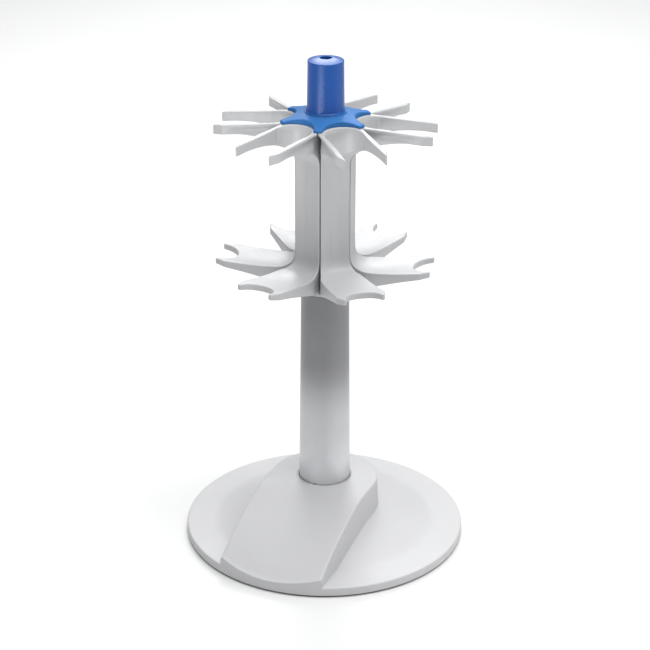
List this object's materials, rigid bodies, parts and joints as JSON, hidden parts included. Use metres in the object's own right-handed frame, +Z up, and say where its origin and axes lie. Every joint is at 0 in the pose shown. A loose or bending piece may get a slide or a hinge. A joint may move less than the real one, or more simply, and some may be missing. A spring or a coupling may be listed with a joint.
{
  "type": "pipette carousel stand",
  "caption": "Bench stand with a weighted round base, a column and a turning carousel of forked holders for hand pipettes, with a blue star cover and turning handle.",
  "frame": {"origin": "centre of the round base, on the surface it stands on", "axes": "+Z up the column; -Y towards the front edge of the base's ramp; +X to the right of someone who faces the ramp"},
  "size_m": [0.1866, 0.1866, 0.3309],
  "materials": {
    "cover_plastic": "fine matt moulded plastic",
    "plate_plastic": "matt moulded plastic",
    "foot_rubber": "soft matt rubber",
    "steel": "plated steel",
    "ballast_iron": "painted cast iron",
    "column_metal": "satin anodised",
    "head_metal": "turned",
    "bearing_plastic": "natural bearing plastic",
    "hub_plastic": "moulded plastic",
    "insert_brass": "turned",
    "star_blue": "satin gloss moulded plastic",
    "handle_blue": "satin gloss moulded plastic",
    "holder_plastic": "satin moulded plastic"
  },
  "bodies": {
    "stand": {"base_cover": "cover_plastic", "base_plate": "plate_plastic", "foot_ring": "foot_rubber", "base_screws": "steel", "ballast": "ballast_iron", "tie_rod": "steel", "tie_washer": "steel", "tie_nut": "steel", "column_tube": "column_metal", "column_head": "head_metal", "spindle": "steel", "thrust_washer": "bearing_plastic", "retaining_washer": "steel", "retaining_ring": "steel"},
    "carousel": {"hub": "hub_plastic", "lower_bush": "bearing_plastic", "upper_bush": "bearing_plastic", "hub_cap": "hub_plastic", "cap_screws": "steel", "cap_insert": "insert_brass", "star_cover": "star_blue", "handle": "handle_blue", "handle_screw": "steel", "holder_1": "holder_plastic", "holder_2": "holder_plastic", "holder_3": "holder_plastic", "holder_4": "holder_plastic", "holder_5": "holder_plastic", "holder_6": "holder_plastic"}
  },
  "joints": [
    {"name": "carousel_spin", "type": "hinge", "parent": "stand", "child": "carousel", "pos_m": [0, 0, 0.18], "axis": [0, 0, 1], "continuous": true}
  ]
}
